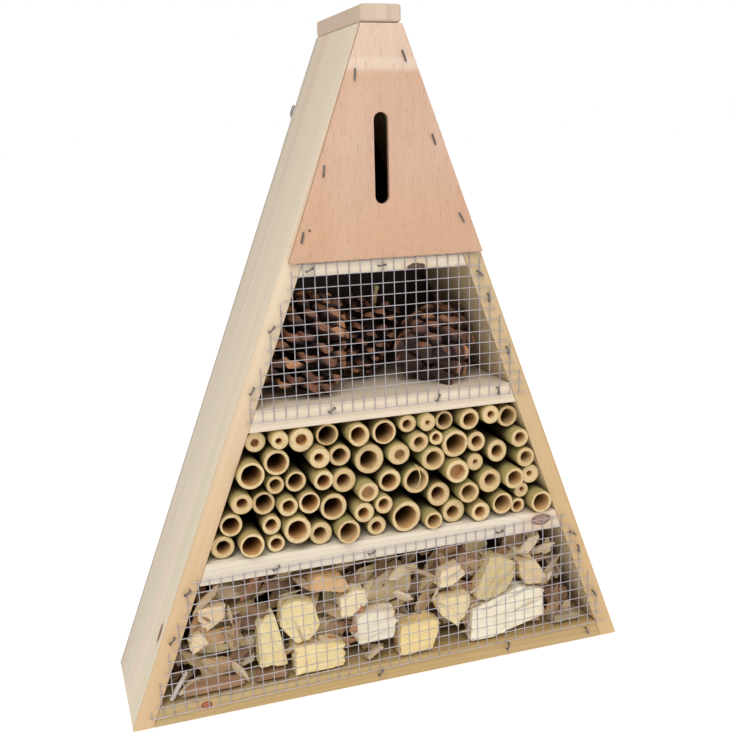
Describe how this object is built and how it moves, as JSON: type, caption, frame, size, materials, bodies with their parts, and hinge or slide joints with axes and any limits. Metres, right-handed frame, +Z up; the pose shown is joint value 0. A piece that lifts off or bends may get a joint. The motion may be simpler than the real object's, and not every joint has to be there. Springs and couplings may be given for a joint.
{
  "type": "insect hotel",
  "caption": "Tall A-shaped wooden insect hotel with a slotted butterfly bay, pine cones and broken wood behind wire mesh, and a bay of bamboo canes.",
  "frame": {"origin": "centre of the base's bottom face, on the surface it stands on", "axes": "+Z up, -Y is the front with the mesh and the slot, +Y the wall side, X across"},
  "size_m": [0.305, 0.0863, 0.38],
  "materials": {
    "side_pine": "planed softwood, unfinished, straight grain",
    "shelf_pine": "planed softwood, unfinished, pale",
    "cap_wood": "sanded softwood with rounded rims",
    "plywood": "raw plywood, pinkish face veneer",
    "mesh_wire": "galvanised wire",
    "staple_steel": "dulled steel",
    "hanger_steel": "zinc plate",
    "bamboo": "dried cane, satin skin and sawn ends",
    "pine_cone": "dry scales with lighter tips",
    "split_wood": "rough split softwood",
    "bark": "flaky bark and stained wood"
  },
  "bodies": {
    "root": {"left_side_board": "side_pine", "right_side_board": "side_pine", "base_board": "shelf_pine", "lower_shelf": "shelf_pine", "middle_shelf": "shelf_pine", "upper_shelf": "shelf_pine", "top_cap": "cap_wood", "back_panel": "plywood", "front_panel": "plywood", "upper_wire_mesh": "mesh_wire", "lower_wire_mesh": "mesh_wire", "front_panel_staples": "staple_steel", "upper_mesh_staples": "staple_steel", "lower_mesh_staples": "staple_steel", "back_panel_staples": "staple_steel", "side_brads": "staple_steel", "cap_brads": "staple_steel", "left_hanger_strap": "hanger_steel", "left_hanger_screw": "hanger_steel", "right_hanger_strap": "hanger_steel", "right_hanger_screw": "hanger_steel", "bamboo_course_1": "bamboo", "bamboo_course_2": "bamboo", "bamboo_course_3": "bamboo", "bamboo_course_4": "bamboo", "bamboo_course_5": "bamboo", "bamboo_course_6": "bamboo", "left_pine_cone": "pine_cone", "right_pine_cone": "pine_cone", "middle_pine_cone": "pine_cone", "wood_chip_01": "split_wood", "wood_chip_02": "split_wood", "wood_chip_03": "split_wood", "wood_chip_04": "split_wood", "wood_chip_05": "split_wood", "wood_chip_06": "split_wood", "wood_chip_07": "split_wood", "wood_chip_08": "split_wood", "wood_chip_09": "split_wood", "wood_chip_10": "split_wood", "wood_chip_11": "split_wood", "wood_chip_12": "split_wood", "wood_chip_13": "split_wood", "wood_chip_14": "split_wood", "wood_chip_15": "split_wood", "wood_chip_16": "split_wood", "wood_chip_17": "split_wood", "wood_chip_18": "split_wood", "wood_chip_19": "split_wood", "wood_chip_20": "split_wood", "wood_chip_21": "split_wood", "wood_chip_22": "split_wood", "wood_chip_23": "split_wood", "wood_chip_24": "split_wood", "bark_strips": "bark", "wood_slivers": "split_wood"},
    "left_ring": {"left_hanger_ring": "hanger_steel"},
    "right_ring": {"right_hanger_ring": "hanger_steel"}
  },
  "joints": [
    {"name": "left_ring_swing", "type": "hinge", "parent": "root", "child": "left_ring", "pos_m": [-0.02075, 0.04272, 0.331], "axis": [0.9345, 0, -0.3561], "range_deg": [0, 180]},
    {"name": "right_ring_swing", "type": "hinge", "parent": "root", "child": "right_ring", "pos_m": [0.02075, 0.04272, 0.331], "axis": [0.9345, 0, 0.3561], "range_deg": [0, 180]}
  ]
}
